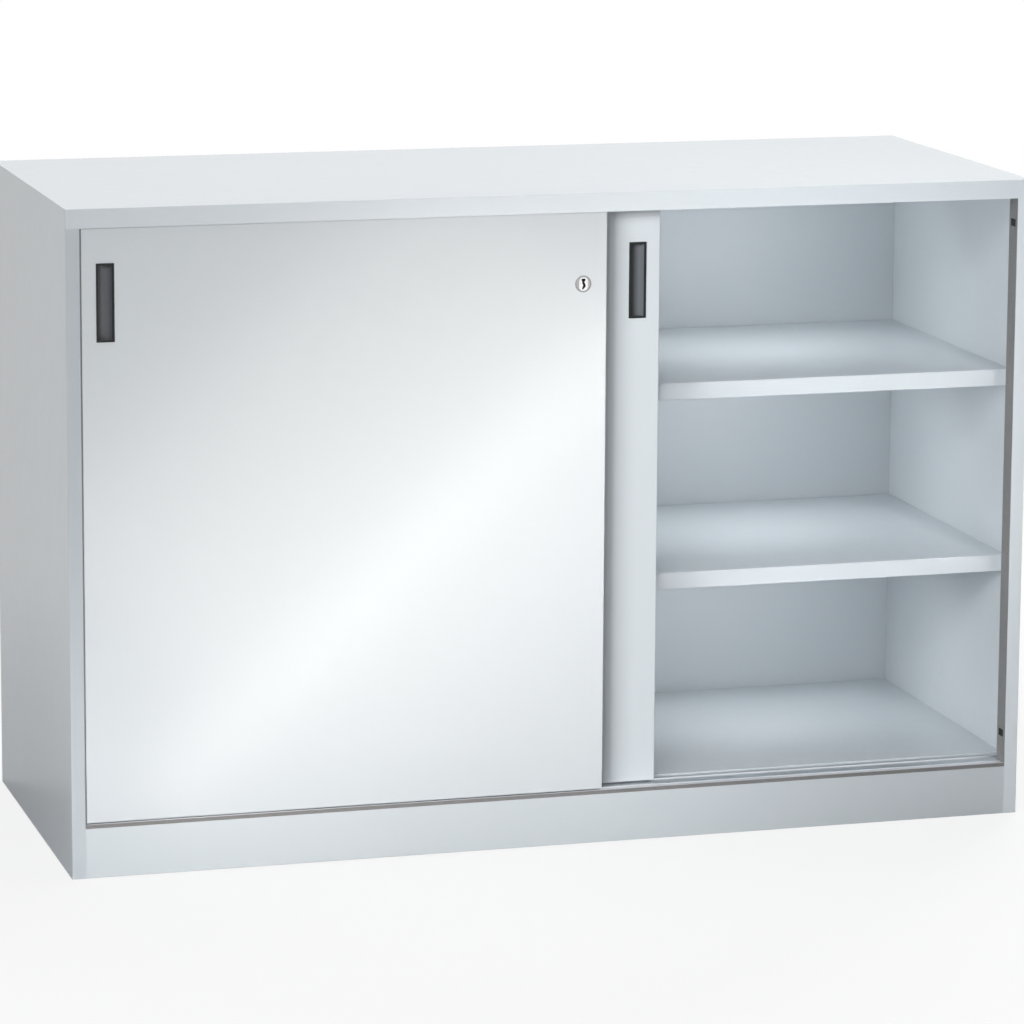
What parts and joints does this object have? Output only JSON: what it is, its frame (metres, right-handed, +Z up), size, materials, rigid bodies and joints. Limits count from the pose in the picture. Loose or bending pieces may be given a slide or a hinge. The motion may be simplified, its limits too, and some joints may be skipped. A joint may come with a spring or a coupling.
{
  "type": "sliding door cabinet",
  "caption": "Steel cupboard with overlapping sliding doors on rollers, recessed pulls, a cam lock and open shelves behind.",
  "frame": {"origin": "middle of the cabinet's footprint, on the floor", "axes": "+X to the right seen from the front, +Y from the doors to the back, +Z up"},
  "size_m": [1.5, 0.6, 1],
  "materials": {
    "carcass_paint": "satin",
    "door_paint": "satin",
    "zinc_steel": "satin",
    "track_aluminium": "satin",
    "trim_plastic": "matte",
    "buffer_rubber": "matte",
    "handle_plastic": "satin",
    "guide_plastic": "matte",
    "roller_plastic": "gloss",
    "fastener_steel": "satin",
    "lock_nickel": "satin",
    "lock_steel": "satin"
  },
  "bodies": {
    "cabinet": {"back_panel": "carcass_paint", "base_gussets": "zinc_steel", "bottom_track": "track_aluminium", "bottom_trim": "trim_plastic", "floor_panel": "carcass_paint", "floor_stiffener_left": "zinc_steel", "floor_stiffener_right": "zinc_steel", "front_door_buffers": "buffer_rubber", "front_plinth": "carcass_paint", "left_jamb_trim": "trim_plastic", "left_side_panel": "carcass_paint", "lower_shelf": "carcass_paint", "lower_shelf_rails": "zinc_steel", "lower_shelf_stiffener": "zinc_steel", "rear_door_buffers": "buffer_rubber", "rear_door_stop": "guide_plastic", "rear_door_stop_screw": "fastener_steel", "rear_plinth": "carcass_paint", "right_jamb_trim": "trim_plastic", "right_side_panel": "carcass_paint", "top_panel": "carcass_paint", "top_stiffener": "zinc_steel", "top_track": "track_aluminium", "upper_shelf": "carcass_paint", "upper_shelf_rails": "zinc_steel", "upper_shelf_stiffener": "zinc_steel"},
    "left_door": {"left_door_axles": "fastener_steel", "left_door_bracket_left": "zinc_steel", "left_door_bracket_right": "zinc_steel", "left_door_bracket_rivets": "fastener_steel", "left_door_guide_left": "guide_plastic", "left_door_guide_right": "guide_plastic", "left_door_guide_screws": "fastener_steel", "left_door_handle": "handle_plastic", "left_door_inner_panel": "door_paint", "left_door_skin": "door_paint", "left_door_stiffener": "zinc_steel", "lock_housing": "lock_nickel", "lock_nut": "lock_nickel"},
    "right_door": {"right_door_axles": "fastener_steel", "right_door_bracket_left": "zinc_steel", "right_door_bracket_right": "zinc_steel", "right_door_bracket_rivets": "fastener_steel", "right_door_guide_left": "guide_plastic", "right_door_guide_right": "guide_plastic", "right_door_guide_screws": "fastener_steel", "right_door_handle": "handle_plastic", "right_door_inner_panel": "door_paint", "right_door_skin": "door_paint", "right_door_stiffener": "zinc_steel", "lock_strike": "lock_steel", "lock_strike_rivets": "fastener_steel"},
    "lock": {"lock_plug": "lock_nickel", "lock_cam": "lock_steel", "lock_cam_screw": "fastener_steel"},
    "left_door_left_wheel": {"left_door_roller_left": "roller_plastic"},
    "left_door_right_wheel": {"left_door_roller_right": "roller_plastic"},
    "right_door_left_wheel": {"right_door_roller_left": "roller_plastic"},
    "right_door_right_wheel": {"right_door_roller_right": "roller_plastic"}
  },
  "joints": [
    {"name": "left_door_slide", "type": "slide", "parent": "cabinet", "child": "left_door", "axis": [1, 0, 0], "range_m": [0, 0.6562]},
    {"name": "right_door_slide", "type": "slide", "parent": "cabinet", "child": "right_door", "axis": [1, 0, 0], "range_m": [0, 0.5737]},
    {"name": "lock_turn", "type": "hinge", "parent": "left_door", "child": "lock", "pos_m": [0.034, -0.285, 0.863], "axis": [0, -1, 0], "range_deg": [0, 90]},
    {"name": "left_door_left_wheel_spin", "type": "hinge", "parent": "left_door", "child": "left_door_left_wheel", "pos_m": [-0.6672, -0.285, 0.0912], "axis": [0, 1, 0], "range_deg": [0, 4180]},
    {"name": "left_door_right_wheel_spin", "type": "hinge", "parent": "left_door", "child": "left_door_right_wheel", "pos_m": [0.011, -0.285, 0.0912], "axis": [0, 1, 0], "range_deg": [0, 4180]},
    {"name": "right_door_left_wheel_spin", "type": "hinge", "parent": "right_door", "child": "right_door_left_wheel", "pos_m": [-0.5737, -0.254, 0.0912], "axis": [0, 1, 0], "range_deg": [0, 3655]},
    {"name": "right_door_right_wheel_spin", "type": "hinge", "parent": "right_door", "child": "right_door_right_wheel", "pos_m": [0.1045, -0.254, 0.0912], "axis": [0, 1, 0], "range_deg": [0, 3655]}
  ],
  "couplings": [
    {"joint": "left_door_left_wheel_spin", "follows": "left_door_slide", "rad_per_m": 111.11},
    {"joint": "left_door_right_wheel_spin", "follows": "left_door_slide", "rad_per_m": 111.11},
    {"joint": "right_door_left_wheel_spin", "follows": "right_door_slide", "rad_per_m": 111.11},
    {"joint": "right_door_right_wheel_spin", "follows": "right_door_slide", "rad_per_m": 111.11}
  ]
}
